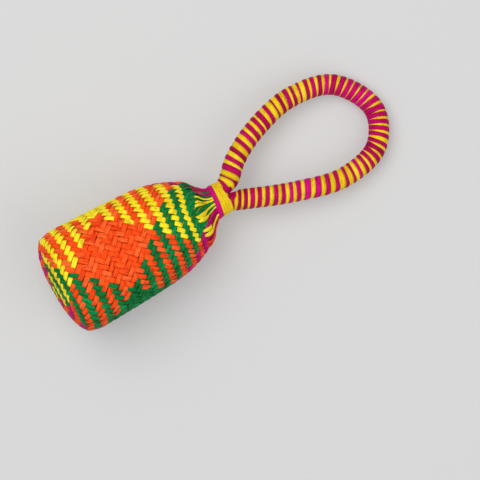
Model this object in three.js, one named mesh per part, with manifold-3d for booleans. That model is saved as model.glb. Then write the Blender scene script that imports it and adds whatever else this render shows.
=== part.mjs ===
// A plaited hand rattle with a wrapped loop handle, lying on its side as it does on a table.
// Millimetres, +Z up. Each piece is made along the basket's own axis, +X from the base's pole to
// the end of the loop, with the loop flat in the XY plane. The whole rattle is then tipped until
// the belly and the end of the loop lie on the table.
import * as THREE from "three";
import { mergeVertices } from "three/addons/utils/BufferGeometryUtils.js";
import Module from "manifold-3d";

const wasm = await Module();
wasm.setup();

// Basket: half-widths of its section at stations along the axis, counted from the base's pole
const BASKET_LENGTH = 110;
const BASKET_WALL = 2;
const DOME_HEIGHT = 12;
const DOME_RADIUS = 36;
const DOME_POWER = 2.2; // 2 is an ellipse, more is squarer
const BELLY_X = 24;
const BELLY_RADIUS = 37;
const SHOULDER_X = 83;
const SHOULDER_RADIUS = 33.8;
const MOUTH_RADIUS = 24.5;
const BASE_SQUARENESS = 2.6; // power of the rounded-square section at the base; 2, a circle, at the mouth
const FLAT_DEPTH = 0.2; // how far the belly is flattened on the table, below the plait's valleys

// Plait: strips climb both ways round, over two and under two. The base is a square mat in four
// faces, and its strips run on up the sides.
const STRIPS = 48; // each way round
const MAT_REACH = 33; // along the profile, from the base's pole to the edge of the mat
const MAT_ROLL = 0.75; // how far the mat is turned, in strips
const CELL_STRETCH = 1.07; // a crossing's length along the side over its width round it
const WEAVE_DEPTH = 0.7; // from the crown of a strip to the corner where strips meet

// Strand ends, drawn in from the mouth to the neck
const GATHER_LENGTH = 10;
const GATHER_SWELL = 1.6; // power of the drawn-in curve; 1 is a straight cone
const STRAND_WALL = 1.5;
const STRAND_FILL = 1.9; // strand ends packed above and below the handle's legs
const FLUTE_DEPTH = 0.5;

// Neck bindings: flat strip wound round the strand ends
const BINDING_THICKNESS = 1;
const BINDING_PITCH = 1.95;
const BINDING_GAP = 0.55; // between neighbouring turns
const MAGENTA_BINDING_TURNS = 2;
const YELLOW_BINDING_TURNS = 3;
const NECK_BARE = 4; // strand ends that show between the gather and the bindings

// Handle: one bundle bent into a drop-shaped loop
const CORE_RADIUS = 5.9;
const LEG_RADIUS = 4.1; // the core is thinner where both legs are bound into the neck
const LEG_GAP = 1;
const LEG_FLARE = 1.6; // how far each leg has moved out when it is one leg radius above the neck
const LEG_TAIL = 3; // how far the legs reach past the neck into the basket
const LEG_TAPER = 14;
const LOOP_REACH = 118.2; // from the top of the neck to the end of the loop's centre line
const LOOP_LEFT = 37.4; // the loop leans to the left of the basket's axis
const LOOP_RIGHT = 28.4;

// Handle wrapping: two flat strips wound side by side, each in successive lengths
const WRAP_THICKNESS = 0.8;
const WRAP_LENGTHS = 5;
const WRAP_TURNS = 11; // turns of one length
const MAGENTA_SHARE = 0.46; // widths of the strips as shares of one pitch
const YELLOW_SHARE = 0.38;

// Seeds: one loose layer on the lower wall
const SEED_LENGTH = 8.5;
const SEED_WIDTH = 6.6;
const SEED_HEIGHT = 6;
const SEED_GAP = 1.3;
const SEED_ROWS = 4;
const SEED_COLUMNS = 4;
const SEED_BED_X = 70;
const SEED_CLEARANCE = 0.5;

const CLEARANCE = 0.3; // between pieces that bear on each other
const STRIP_END_GAP = 1; // between the end of one strip and the start of the next

// Points in a ring, steps in a turn
const GATHER_SIDES = 32;
const CORE_SIDES = 10;
const CORE_STEPS = 56;
const WRAP_STEPS = 8;
const BINDING_STEPS = 12;

const TURN = 2 * Math.PI;
const smooth = (t) => THREE.MathUtils.smoothstep(t, 0, 1);
const mix = THREE.MathUtils.lerp;
const vector = (x, y, z) => new THREE.Vector3(x, y, z);

const material = (color, roughness) => new THREE.MeshStandardMaterial({ color, roughness, metalness: 0 });
const ORANGE_PALM = material(0xf4551b, 0.55);
const GREEN_PALM = material(0x0c8a45, 0.55);
const YELLOW_PALM = material(0xf5df1e, 0.5);
const MAGENTA_PALM = material(0xd6127f, 0.5);
const RAW_FIBRE = material(0xc2a878, 0.8);
const SEED_SKIN = material(0x6b4a2c, 0.45);

// Solids

// A closed surface through rings with the same number of points. Each end is closed by a fan,
// or the last ring joins the first.
function loft(rings, joined = false) {
  const count = rings[0].length;
  const points = rings.flat();
  const corners = [];
  const bands = joined ? rings.length : rings.length - 1;
  for (let i = 0; i < bands; i++) {
    const near = i * count;
    const far = ((i + 1) % rings.length) * count;
    for (let j = 0; j < count; j++) {
      const k = (j + 1) % count;
      corners.push(near + j, near + k, far + j, near + k, far + k, far + j);
    }
  }
  if (!joined) {
    const last = (rings.length - 1) * count;
    const centre = (ring) => ring.reduce((sum, p) => sum.add(p), vector(0, 0, 0)).divideScalar(count);
    points.push(centre(rings[0]), centre(rings.at(-1)));
    for (let j = 0; j < count; j++) {
      const k = (j + 1) % count;
      corners.push(points.length - 2, k, j, points.length - 1, last + j, last + k);
    }
  }
  return closedSurface(points, corners);
}

function closedSurface(points, corners) {
  const geometry = new THREE.BufferGeometry().setFromPoints(points);
  geometry.setIndex(volume(points, corners) < 0 ? corners.reverse() : corners);
  return geometry;
}

function volume(points, corners) {
  let sum = 0;
  for (let i = 0; i < corners.length; i += 3) {
    const [a, b, c] = [0, 1, 2].map((j) => points[corners[i + j]]);
    sum += a.dot(b.clone().cross(c)) / 6;
  }
  return sum;
}

function solidOf(geometry) {
  const bare = geometry.clone();
  bare.deleteAttribute("normal");
  bare.deleteAttribute("uv");
  const merged = mergeVertices(bare);
  const vertProperties = merged.getAttribute("position").array;
  return new wasm.Manifold(
    new wasm.Mesh({ numProp: 3, vertProperties, triVerts: new Uint32Array(merged.index.array) }),
  );
}

function geometryOf(solid) {
  const { vertProperties, triVerts } = solid.getMesh();
  return new THREE.BufferGeometry()
    .setAttribute("position", new THREE.BufferAttribute(vertProperties, 3))
    .setIndex(new THREE.BufferAttribute(triVerts, 1));
}

// Least distance between points of one tube that lie at least a given number of sections apart.
function leastGap(sections, apart) {
  let least = Infinity;
  sections.forEach((section, i) =>
    sections.slice(i + apart).forEach((other) =>
      section.forEach((p) => other.forEach((q) => (least = Math.min(least, p.distanceTo(q))))),
    ),
  );
  return least;
}

// Basket

// Half-widths from the pole to the mouth: a rounded base, then one smooth curve over belly and shoulder.
function basketProfile(domeSteps, sideSteps) {
  const profile = [];
  for (let i = 1; i < domeSteps; i++) {
    const depth = Math.cos((i / domeSteps) * (Math.PI / 2));
    const radius = DOME_RADIUS * (1 - depth ** DOME_POWER) ** (1 / DOME_POWER);
    profile.push(new THREE.Vector2(DOME_HEIGHT * (1 - depth), radius));
  }
  const side = new THREE.SplineCurve([
    new THREE.Vector2(DOME_HEIGHT, DOME_RADIUS),
    new THREE.Vector2(BELLY_X, BELLY_RADIUS),
    new THREE.Vector2(SHOULDER_X, SHOULDER_RADIUS),
    new THREE.Vector2(BASKET_LENGTH, MOUTH_RADIUS),
  ]);
  return profile.concat(side.getSpacedPoints(sideSteps));
}

// The same profile a wall's thickness inside.
function insetProfile(profile, wall) {
  return profile.map((p, i) => {
    const before = profile[Math.max(i - 1, 0)];
    const after = profile[Math.min(i + 1, profile.length - 1)];
    const along = after.clone().sub(before).normalize();
    return new THREE.Vector2(p.x + along.y * wall, p.y - along.x * wall);
  });
}

const squarenessAt = (x) => mix(BASE_SQUARENESS, 2, smooth(x / BASKET_LENGTH));

// A point on the section at a place on the profile. Its turn is counted in strips from the top.
function basketPoint({ x, y: radius }, turn) {
  const power = squarenessAt(x);
  const s = Math.sin(((turn + MAT_ROLL) / STRIPS) * TURN);
  const c = Math.cos(((turn + MAT_ROLL) / STRIPS) * TURN);
  const reach = radius / (Math.abs(c) ** power + Math.abs(s) ** power) ** (1 / power);
  return vector(x, reach * s, reach * c);
}

const innerProfile = insetProfile(basketProfile(5, 8), BASKET_WALL);
const crownLine = [new THREE.Vector2(0, 0), ...basketProfile(30, 90)];
const valleyLine = insetProfile(crownLine, WEAVE_DEPTH);
const crownLengths = [0];
for (let i = 1; i < crownLine.length; i++)
  crownLengths.push(crownLengths[i - 1] + crownLine[i].distanceTo(crownLine[i - 1]));

// A place on a line drawn beside the crowns, at a length along the crowns from the pole.
function placeOn(line, length) {
  const i = Math.max(1, crownLengths.findIndex((l) => l >= length));
  const share = (length - crownLengths[i - 1]) / (crownLengths[i] - crownLengths[i - 1]);
  return line[i - 1].clone().lerp(line[i], share);
}

// Lengths along the crowns of the rows of crossings, half a cell apart.
const MAT_ROWS = STRIPS / 4;
function plaitRows() {
  const rows = Array.from({ length: MAT_ROWS + 1 }, (_, row) => (row / MAT_ROWS) * MAT_REACH);
  for (;;) {
    const girth = TURN * placeOn(crownLine, rows.at(-1)).y;
    const halfCell = (CELL_STRETCH * girth) / STRIPS / 2;
    if (rows.at(-1) + 2 * halfCell > crownLengths.at(-1)) return rows;
    rows.push(rows.at(-1) + halfCell);
  }
}

// The basket's shell. Outside, every cell rises from its four corners to the crown of the strip
// that lies on top there, which spans two cells. Inside, it is smooth.
function wovenBody() {
  const rows = plaitRows();
  const lastRow = rows.length - 1;
  const inFace = (row) => Math.min(row, MAT_ROWS); // crossings of a row in one of the four faces
  const inRow = (row) => Math.max(4 * inFace(row), 1);
  const turnAt = (row, i) => (row < MAT_ROWS ? MAT_ROWS * (i / Math.max(row, 1) - 0.5) : i - row / 2);
  const rowOn = (line) => (length, row) =>
    Array.from({ length: inRow(row) }, (_, i) => basketPoint(placeOn(line, length), turnAt(row, i)));
  const crowns = rows.map(rowOn(crownLine));
  const valleys = rows.map(rowOn(valleyLine));

  const points = valleys.flat();
  const corners = [];
  const firstOf = [0];
  for (let row = 0; row < lastRow; row++) firstOf.push(firstOf[row] + inRow(row));
  const crossing = (row, face, i) => ({ row, i: (face * inFace(row) + i) % inRow(row) });
  const indexOf = ({ row, i }) => firstOf[row] + i;
  const fan = (apex, ring) => ring.slice(1).forEach((p, i) => corners.push(apex, ring[i], p));
  const raised = (crossings) => {
    const sum = crossings.reduce((total, { row, i }) => total.add(crowns[row][i]), vector(0, 0, 0));
    return points.push(sum.divideScalar(crossings.length)) - 1;
  };

  const cells = [];
  for (let row = 0; row < lastRow; row++)
    for (let face = 0; face < 4; face++)
      for (let i = 0; i <= Math.min(row, MAT_ROWS - 1); i++) {
        const bottom = crossing(row, face, i);
        const left = crossing(row + 1, face, i);
        const right = crossing(row + 1, face, i + 1);
        if (row + 1 === lastRow) fan(indexOf(bottom), [right, left].map(indexOf));
        else cells.push({ row, round: [bottom, right, crossing(row + 2, face, i + 1), left] });
      }

  // Rows 0 and 1 of every four show the strips that climb to the right, rows 2 and 3 the others.
  // Two cells of one strip share the side that its crown crosses.
  const crownSide = [1, 3, 2, 0];
  const sides = new Map();
  for (const cell of cells) {
    const side = crownSide[cell.row % 4];
    cell.round = [0, 1, 2, 3].map((i) => cell.round[(side + 1 + i) % 4]);
    const ends = [cell.round[3], cell.round[0]];
    cell.key = ends.map(indexOf).sort((a, b) => a - b).join();
    const shared = sides.get(cell.key) ?? { ends, cells: 0 };
    shared.cells += 1;
    sides.set(cell.key, shared);
  }
  for (const { round, key } of cells) {
    const shared = sides.get(key);
    const ring = round.map(indexOf);
    if (shared.cells === 1) fan(raised(round), [...ring, ring[0]]);
    else fan((shared.crown ??= raised(shared.ends)), ring);
  }

  const ringOf = (place) => Array.from({ length: STRIPS }, (_, i) => basketPoint(place, turnAt(lastRow, i)));
  let near = firstOf[lastRow];
  for (const place of [crownLine.at(-1), ...innerProfile.toReversed()]) {
    const far = points.push(...ringOf(place)) - STRIPS;
    for (let i = 0; i < STRIPS; i++) {
      const k = (i + 1) % STRIPS;
      corners.push(near + i, near + k, far + i, near + k, far + k, far + i);
    }
    near = far;
  }
  const pole = points.push(vector(innerProfile[0].x, 0, 0)) - 1;
  for (let i = 0; i < STRIPS; i++) corners.push(pole, near + i, near + ((i + 1) % STRIPS));
  return closedSurface(points, corners);
}

// Neck: both legs side by side inside the strand ends, inside the bindings

const neckStart = BASKET_LENGTH + GATHER_LENGTH;
const bindingStart = neckStart + NECK_BARE;
const bindingTurns = MAGENTA_BINDING_TURNS + YELLOW_BINDING_TURNS + 1;
const neckTop = bindingStart + bindingTurns * BINDING_PITCH;
const legOffset = LEG_RADIUS + LEG_GAP / 2;
const neckInside = { width: legOffset + LEG_RADIUS + CLEARANCE, depth: LEG_RADIUS + STRAND_FILL };
const neckOutside = { width: neckInside.width + STRAND_WALL, depth: neckInside.depth + STRAND_WALL };

function ovalRing(x, width, depth, sides, ripple = 0) {
  return Array.from({ length: sides }, (_, i) => {
    const angle = (i / sides) * TURN;
    const ridge = i % 2 ? ripple : -ripple;
    return vector(x, (width + ridge) * Math.cos(angle), (depth + ridge) * Math.sin(angle));
  });
}

function gatheredStrands() {
  const steps = 6;
  const slant = Math.hypot(GATHER_LENGTH, MOUTH_RADIUS - neckOutside.width) / GATHER_LENGTH;
  const outer = [];
  const inner = [];
  for (let i = 0; i <= steps; i++) {
    const t = i / steps;
    const x = mix(BASKET_LENGTH + CLEARANCE, neckStart, t);
    const drawn = t ** GATHER_SWELL;
    const width = mix(MOUTH_RADIUS, neckOutside.width, drawn);
    const depth = mix(MOUTH_RADIUS, neckOutside.depth, drawn);
    const wall = STRAND_WALL * mix(slant, 1, smooth(t));
    outer.push(ovalRing(x, width, depth, GATHER_SIDES, FLUTE_DEPTH * Math.sin(t * Math.PI)));
    inner.unshift(ovalRing(x, width - wall, depth - wall, GATHER_SIDES));
  }
  outer.push(ovalRing(neckTop, neckOutside.width, neckOutside.depth, GATHER_SIDES));
  inner.unshift(ovalRing(neckTop, neckInside.width, neckInside.depth, GATHER_SIDES));
  return loft([...outer, ...inner], true);
}

// One flat strip wound round the neck, a number of turns from a place on the axis.
function bindingSections(startX, turns) {
  const around = 1 / Math.cos(Math.PI / BINDING_STEPS); // faces are chords, corners lie further out
  const halfWidth = (BINDING_PITCH - BINDING_GAP) / 2;
  const endTrim = STRIP_END_GAP / (TURN * neckOutside.width) / 2;
  const steps = turns * BINDING_STEPS;
  const floor = CLEARANCE;
  const top = CLEARANCE + BINDING_THICKNESS;
  const at = (x, angle, lift) =>
    vector(
      x,
      (neckOutside.width + lift) * around * Math.cos(angle),
      (neckOutside.depth + lift) * around * Math.sin(angle),
    );
  return Array.from({ length: steps + 1 }, (_, i) => {
    const turned = mix(endTrim, turns - endTrim, i / steps);
    const angle = turned * TURN;
    const x = startX + (turned + 0.5) * BINDING_PITCH;
    return [
      at(x - halfWidth, angle, floor),
      at(x + halfWidth, angle, floor),
      at(x + halfWidth, angle, top),
      at(x - halfWidth, angle, top),
    ];
  });
}

// Handle

// Centre line: stations as shares of the loop's reach and of its two half-widths.
function loopCurve() {
  const tail = neckStart - LEG_TAIL;
  const left = (reach, width) => vector(neckTop + reach * LOOP_REACH, width * LOOP_LEFT, 0);
  const right = (reach, width) => vector(neckTop + reach * LOOP_REACH, -width * LOOP_RIGHT, 0);
  const curve = new THREE.CatmullRomCurve3([
    vector(tail, legOffset, 0),
    vector(mix(tail, neckTop, 0.5), legOffset, 0),
    vector(neckTop, legOffset, 0),
    vector(neckTop + LEG_RADIUS, legOffset + LEG_FLARE, 0),
    left(0.14, 0.49),
    left(0.32, 0.79),
    left(0.59, 1),
    left(0.86, 0.82),
    left(1, 0.07),
    right(0.9, 0.74),
    right(0.65, 1),
    right(0.36, 0.73),
    right(0.1, 0.33),
    vector(neckTop + LEG_RADIUS, -legOffset - LEG_FLARE, 0),
    vector(neckTop, -legOffset, 0),
    vector(mix(tail, neckTop, 0.5), -legOffset, 0),
    vector(tail, -legOffset, 0),
  ]);
  curve.arcLengthDivisions = 800;
  return curve;
}

const loop = loopCurve();
const loopLength = loop.getLength();

const legRun = neckTop - neckStart + LEG_TAIL; // straight length of each leg, up to the top of the neck

function coreRadiusAt(s) {
  const aboveNeck = Math.min(s, loopLength - s) - legRun;
  return mix(LEG_RADIUS, CORE_RADIUS, smooth(aboveNeck / LEG_TAPER));
}

// A point beside the centre line: s along it, an angle round it, and a distance from it.
function besideLoop(s, angle, distance) {
  const u = THREE.MathUtils.clamp(s / loopLength, 0, 1);
  const along = loop.getTangentAt(u);
  const side = vector(along.y, -along.x, 0);
  return loop
    .getPointAt(u)
    .addScaledVector(side, distance * Math.cos(angle))
    .add(vector(0, 0, distance * Math.sin(angle)));
}

function coreSections() {
  const bent = Array.from({ length: CORE_STEPS + 1 }, (_, i) =>
    mix(legRun, loopLength - legRun, i / CORE_STEPS),
  );
  return [0, ...bent, loopLength].map((s) =>
    Array.from({ length: CORE_SIDES }, (_, j) => besideLoop(s, (j / CORE_SIDES) * TURN, coreRadiusAt(s))),
  );
}

// The wrapping's faces are chords, so its corners lie a little further out.
const wrapFloor = (s) => (coreRadiusAt(s) + CLEARANCE) / Math.cos(Math.PI / WRAP_STEPS);
const wrapTop = (s) => (coreRadiusAt(s) + CLEARANCE + WRAP_THICKNESS) / Math.cos(Math.PI / WRAP_STEPS);

// How far from an end of the centre line a wrapping clears the neck and the other leg.
function wrapStart(fromFarEnd) {
  const step = loopLength / 2000;
  for (let s = 0; s < loopLength / 2; s += step) {
    const place = fromFarEnd ? loopLength - s : s;
    const ring = Array.from({ length: WRAP_STEPS }, (_, i) =>
      besideLoop(place, (i / WRAP_STEPS) * TURN, wrapTop(place)),
    );
    const clear = ring.every((p) => p.x > neckTop + CLEARANCE && (fromFarEnd ? -p.y : p.y) > CLEARANCE / 2);
    if (clear) return place;
  }
  throw new Error("the legs of the loop never part");
}

const windStart = wrapStart(false);
const windEnd = wrapStart(true);
const windPitch = (windEnd - windStart) / (WRAP_LENGTHS * WRAP_TURNS + 1);

// One length of flat strip wound round the handle. Its phase is its middle's place across the
// pitch, from 0 to 1.
function wrapSections(length, phase, share) {
  const endTrim = STRIP_END_GAP / (TURN * CORE_RADIUS) / 2;
  const first = length * WRAP_TURNS + endTrim;
  const last = (length + 1) * WRAP_TURNS - endTrim;
  const steps = WRAP_TURNS * WRAP_STEPS;
  return Array.from({ length: steps + 1 }, (_, i) => {
    const turns = mix(first, last, i / steps);
    const middle = windStart + (turns + phase) * windPitch;
    const near = middle - (share / 2) * windPitch;
    const far = middle + (share / 2) * windPitch;
    const angle = turns * TURN;
    return [
      besideLoop(near, angle, wrapFloor(middle)),
      besideLoop(far, angle, wrapFloor(middle)),
      besideLoop(far, angle, wrapTop(middle)),
      besideLoop(near, angle, wrapTop(middle)),
    ];
  });
}

// Seeds

function innerRadiusAt(x) {
  const i = innerProfile.findIndex((p, j) => j > 0 && p.x >= x);
  const [before, after] = [innerProfile[i - 1], innerProfile[i]];
  return mix(before.y, after.y, (x - before.x) / (after.x - before.x));
}

// How far a point lies outside the inner wall, less the seeds' clearance; negative inside.
function pastWall({ x, y, z }) {
  const power = squarenessAt(x);
  const reach = (Math.abs(y) ** power + Math.abs(z) ** power) ** (1 / power);
  return reach - innerRadiusAt(x) + SEED_CLEARANCE;
}

function seedGeometry(yaw) {
  const seed = new THREE.SphereGeometry(0.5, 8, 6);
  return seed.scale(SEED_WIDTH, SEED_HEIGHT, SEED_LENGTH).rotateX(Math.PI / 2).rotateZ(yaw);
}

// The height at which a seed over one place meets the lower wall, or with side 1 the upper wall.
function seedHeight(geometry, x, y, side) {
  const position = geometry.getAttribute("position");
  const points = Array.from({ length: position.count }, (_, i) =>
    vector().fromBufferAttribute(position, i),
  );
  const touches = (z) => points.some((p) => pastWall(p.clone().add(vector(x, y, z))) > 0);
  let free = 0;
  let blocked = side * BELLY_RADIUS;
  for (let i = 0; i < 30; i++) {
    const middle = (free + blocked) / 2;
    if (touches(middle)) blocked = middle;
    else free = middle;
  }
  return free;
}

// Assembly

const lying = new THREE.Group();

function place(name, geometry, look) {
  const mesh = new THREE.Mesh(geometry, look);
  mesh.name = name;
  lying.add(mesh);
  return mesh;
}

const twoPlaces = (number) => String(number).padStart(2, "0");

const body = place("woven_body", wovenBody(), ORANGE_PALM);
place("gathered_strands", gatheredStrands(), GREEN_PALM);

const core = coreSections();
place("handle_core", loft(core), RAW_FIBRE);
console.log("handle_core: legs lie", leastGap(core, CORE_STEPS / 2).toFixed(2), "mm apart or more");

const stripGap = (1 - MAGENTA_SHARE - YELLOW_SHARE) / 2;
const strips = [
  ["wrap_magenta", MAGENTA_SHARE / 2, MAGENTA_SHARE, MAGENTA_PALM],
  ["wrap_yellow", MAGENTA_SHARE + stripGap + YELLOW_SHARE / 2, YELLOW_SHARE, YELLOW_PALM],
];
const wrapMeshes = strips.flatMap(([name, phase, share, look]) =>
  Array.from({ length: WRAP_LENGTHS }, (_, i) => {
    const sections = wrapSections(i, phase, share);
    const gap = leastGap(sections, WRAP_STEPS - 1);
    console.log(`${name}_${i + 1}: turns lie`, gap.toFixed(2), "mm apart or more");
    return place(`${name}_${i + 1}`, loft(sections), look);
  }),
);

const yellowStart = bindingStart + MAGENTA_BINDING_TURNS * BINDING_PITCH;
const bindings = [
  ["neck_binding_magenta", bindingStart, MAGENTA_BINDING_TURNS, MAGENTA_PALM],
  ["neck_binding_yellow", yellowStart, YELLOW_BINDING_TURNS, YELLOW_PALM],
];
for (const [name, startX, turns, look] of bindings) {
  const sections = bindingSections(startX, turns);
  const gap = leastGap(sections, BINDING_STEPS - 1);
  console.log(`${name}: turns lie`, gap.toFixed(2), "mm apart or more");
  place(name, loft(sections), look);
}

const seeds = [];
const seedSpacing = SEED_LENGTH + SEED_GAP;
for (let row = 0; row < SEED_ROWS; row++)
  for (let column = 0; column < SEED_COLUMNS; column++) {
    const number = row * SEED_COLUMNS + column + 1;
    const goldenAngle = Math.PI * (3 - Math.sqrt(5));
    const geometry = seedGeometry(number * goldenAngle);
    const x = SEED_BED_X + (row - (SEED_ROWS - 1) / 2) * seedSpacing;
    const y = (column - (SEED_COLUMNS - 1) / 2) * seedSpacing;
    const low = seedHeight(geometry, x, y, -1);
    const seed = place(`seed_${twoPlaces(number)}`, geometry, SEED_SKIN);
    seed.position.set(x, y, low);
    seeds.push({ name: seed.name, hop: seedHeight(geometry, x, y, 1) - low });
  }

// Rest on the table: the tilt at which the flattened belly and the end of the loop are equally low

function lowestOf(meshes, tilt) {
  let lowest = Infinity;
  for (const mesh of meshes) {
    const position = mesh.geometry.getAttribute("position");
    for (let i = 0; i < position.count; i++)
      lowest = Math.min(lowest, position.getZ(i) * Math.cos(tilt) - position.getX(i) * Math.sin(tilt));
  }
  return lowest;
}

const flatLevel = (tilt) => lowestOf([body], tilt) + WEAVE_DEPTH + FLAT_DEPTH;

function restingTilt() {
  let level = 0;
  let steep = Math.PI / 6;
  for (let i = 0; i < 40; i++) {
    const middle = (level + steep) / 2;
    if (lowestOf(wrapMeshes, middle) > flatLevel(middle)) level = middle;
    else steep = middle;
  }
  return level;
}

const tilt = restingTilt();
const table = flatLevel(tilt);

function flattenBelly() {
  const size = 4 * BASKET_LENGTH;
  const tableTop = new THREE.BoxGeometry(size, size, size).translate(0, 0, table - size / 2).rotateY(-tilt);
  return geometryOf(solidOf(body.geometry).subtract(solidOf(tableTop)));
}

body.geometry = flattenBelly();

lying.rotation.y = tilt;
lying.position.z = -table;
lying.updateMatrixWorld(true);
const box = new THREE.Box3().setFromObject(lying, true);
const middle = box.getCenter(vector());
lying.position.x = -middle.x;
lying.position.y = -middle.y;

const root = new THREE.Group();
root.name = "caxixi";
root.add(lying);

console.log("tilt", THREE.MathUtils.radToDeg(tilt).toFixed(3), "degrees");
console.log("shift", lying.position.toArray().join(" "), "mm");
for (const { name, hop } of seeds) console.log(name, "hops", hop.toFixed(2), "mm");

export default root;
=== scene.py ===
"""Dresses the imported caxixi: a rattle plaited from dyed palm, with a wrapped loop handle and loose seeds."""
import math
import random

import bpy
import numpy as np
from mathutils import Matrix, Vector


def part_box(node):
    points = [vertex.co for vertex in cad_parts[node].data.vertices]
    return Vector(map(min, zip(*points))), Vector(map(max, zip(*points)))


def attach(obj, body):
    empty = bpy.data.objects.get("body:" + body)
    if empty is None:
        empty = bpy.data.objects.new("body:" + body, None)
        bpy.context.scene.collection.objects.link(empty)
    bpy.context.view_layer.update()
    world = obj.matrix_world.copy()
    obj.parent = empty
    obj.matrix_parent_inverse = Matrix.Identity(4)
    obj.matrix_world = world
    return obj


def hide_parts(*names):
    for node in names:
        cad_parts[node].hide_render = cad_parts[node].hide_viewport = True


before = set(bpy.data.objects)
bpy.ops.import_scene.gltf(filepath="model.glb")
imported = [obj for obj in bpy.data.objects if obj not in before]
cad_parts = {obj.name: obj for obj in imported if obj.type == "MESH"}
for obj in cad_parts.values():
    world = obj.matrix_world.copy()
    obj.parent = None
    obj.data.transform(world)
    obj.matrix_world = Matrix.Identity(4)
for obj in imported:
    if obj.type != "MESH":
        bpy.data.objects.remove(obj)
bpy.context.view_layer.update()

# Sizes are in millimetres in the rattle's own frame: X runs from the base to the handle, Z is the upper side.
MM = 0.001
TAU = 2 * math.pi
SMOOTH_ANGLE = math.radians(50)
SEAM_GAP = 0.002
TINY = 1e-6

# How the rattle lies on the floor
REST_TILT = math.radians(8.392)
REST_SHIFT = (-128.658, -3.989, 44.573)
FLOOR_PRESS = 1.0

# Basket
BASKET_LENGTH = 110
DOME_HEIGHT = 12
DOME_RADIUS = 36
DOME_POWER = 2.2
BELLY = (24, 37)
SHOULDER = (83, 33.8)
MOUTH_RADIUS = 24.5
BASE_SQUARENESS = 2.6
POLE_RADIUS = 1
SIDE_STEPS = 60
GATHER_STEPS = 16

# Plait: the strips of each direction are counted round the basket, and one cell is one strip wide
COLOURS = ("orange", "yellow", "magenta", "green")
STRIPS = 48
FACE = STRIPS // 4
CELL_STRETCH = 1.07
PATTERN_X = 45
PATTERN_ROLL = 0.75
WEAVE_END_X = 104.5
POLE = -14
EDGE = POLE + FACE / 2
TWILL_SHARPNESS = 1.8
BORDER_LAP = 0.3
BORDER_TUCK = 0.35

# Towards the neck the strips fan out from the top, and on the left side the last rows are drawn on to it
SPREAD = 1.3
SPREAD_LEAN = 0.2
SPREAD_X = (80, 102)
SLACK = 6.2
SLACK_X = (78, 103, 118)
SLACK_SIDE = (-0.1, 0.7)

# One palm strip
STRIP_WIDTH = 3.4
STRIP_FILL = 0.99
STRIP_THICKNESS = 0.55
STRIP_LIFT = 0.7
STRIP_CROWN = 0.34
STRIP_TOP = 0.2
STRIP_PINCH = (0.93, 0.05)
ROWS_PER_CELL = 5
STRIP_COLUMNS = 4

# What each strip draws by chance
WIDTH_CHANCE = (-0.05, 0.04)
SHIFT_CHANCE = (-0.07, 0.07)
SAG_CHANCE = (-0.1, 0.04)
ROLL_CHANCE = (-0.3, 0.3)
DRIFT_CHANCE = (-0.3, 0.3)
BREADTH_CHANCE = (0.8, 1.12)

# How uneven a strip is: size, radians in a cell and how many times the strip's own phase
SWAY_WAVES = ((0.05, 0.8, 1), (0.03, 2.1, 3))
PINCH_WAVE = (0.04, 1.3, 2)
HEIGHT_WAVE = (0.08, 1.1, 4)
TWIST_WAVE = (0.1, 0.6, 5)

# Gathered strip ends and neck: a taper and a late change have a start along the strip end and a run
GATHER_LINE = ((114, 21.4), (117, 17.2), (119.4, 12.9), (121.8, 11.1), (128, 10.4), (136, 9.7))
NECK_START = 120
NECK_TOP = 135.7
NECK_FLATTENING = 7.5 / 10.5
LEG_FLATTENING = 6.0 / 9.7
LEG_FLATTENING_X = 128
STRAND_HALF_WIDTH = 0.62
STRAND_TIP = 1.06
STRAND_END_X = 133
STRAND_SWEEP = 3
STRAND_TURN = 1.3
STRAND_RUN = 24
STRAND_CROSSING = 4.5
STRAND_TAPER = (6, 12)
STRAND_LATE = (10, 5)
LEAF_HALF_WIDTH = 1.4
LEAF_TIP = 0.65
TIP_RUN = 1.5
LOOSE_X = 120
LOOSE_REACH = 4
LOOSE_RISE = 1.6
GATHER_ROWS = 60

# How high a strip end lies: 1 is on top of another strip, and -1 is under one
OVER = 1
TUCKED = -2
DUCKED = -2.2
DUCK_DELAY = 3
DUCK_RUN = 2
RAISED = 0.7
RESTING = (-1.15, -0.5)
TUCKED_EVERY = 3
RAISED_EVERY = 4
DIVING_RIGHT = (8,)
RAISED_LEFT = (27, 28, 30)
SHOULDER_TURNS = (4, 6, 14, 17)

# Strip ends that lie deeper than this widen, so that they close the gaps
HIDDEN_RIGHT = 1.1
HIDDEN_LEFT = 0.7
HIDDEN_FADE = 0.4
HIDDEN_HALF_WIDTH = 0.8

# Strips that end as leaves, by their turn from the top: their turn at the neck, and how late they come up
LEAF_TURNS = ((-24, -25.3), (-4.75, -6), (-3.75, -5.4), (-1.75, -1.2), (-0.75, 0.3), (1.25, 1.1),
              (2.25, 1.6), (4.25, 2.1), (5.25, 2.5), (11, 9.7), (24, 22.7))
LEAF_DELAYS = ((-2, 0), (-0.75, 1.5), (1.25, 4), (2.25, 9), (4.25, 7), (8, 0))

# Handle loop
LEG_OFFSET = 4.6
LEG_TAIL = 3
LEG_FLARE = 1.6
LEG_RADIUS = 4.1
LEG_RISE = 4.1
LEG_RUN = NECK_TOP - NECK_START + LEG_TAIL
LEFT_SHIFT = 0.8
LOOP_REACH = 118.2
LOOP_LEFT = 37.4
LOOP_RIGHT = 28.4
LEFT_LINE = ((0.14, 0.49), (0.32, 0.79), (0.59, 1), (0.86, 0.82), (1, 0.07))
RIGHT_LINE = ((0.9, 0.74), (0.65, 1), (0.36, 0.73), (0.1, 0.33))
LOOP_STEPS = 40
CORE_RADIUS = 5.9
CORE_TAPER = 14
CORE_SINK = 0.15
CORE_STRANDS = 16
CORE_RIDGE = 0.12
CORE_LAY = 0.05
CORE_HALF_GIRTH = 18
CORE_ROWS = 200
CORE_COLUMNS = 64

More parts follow.
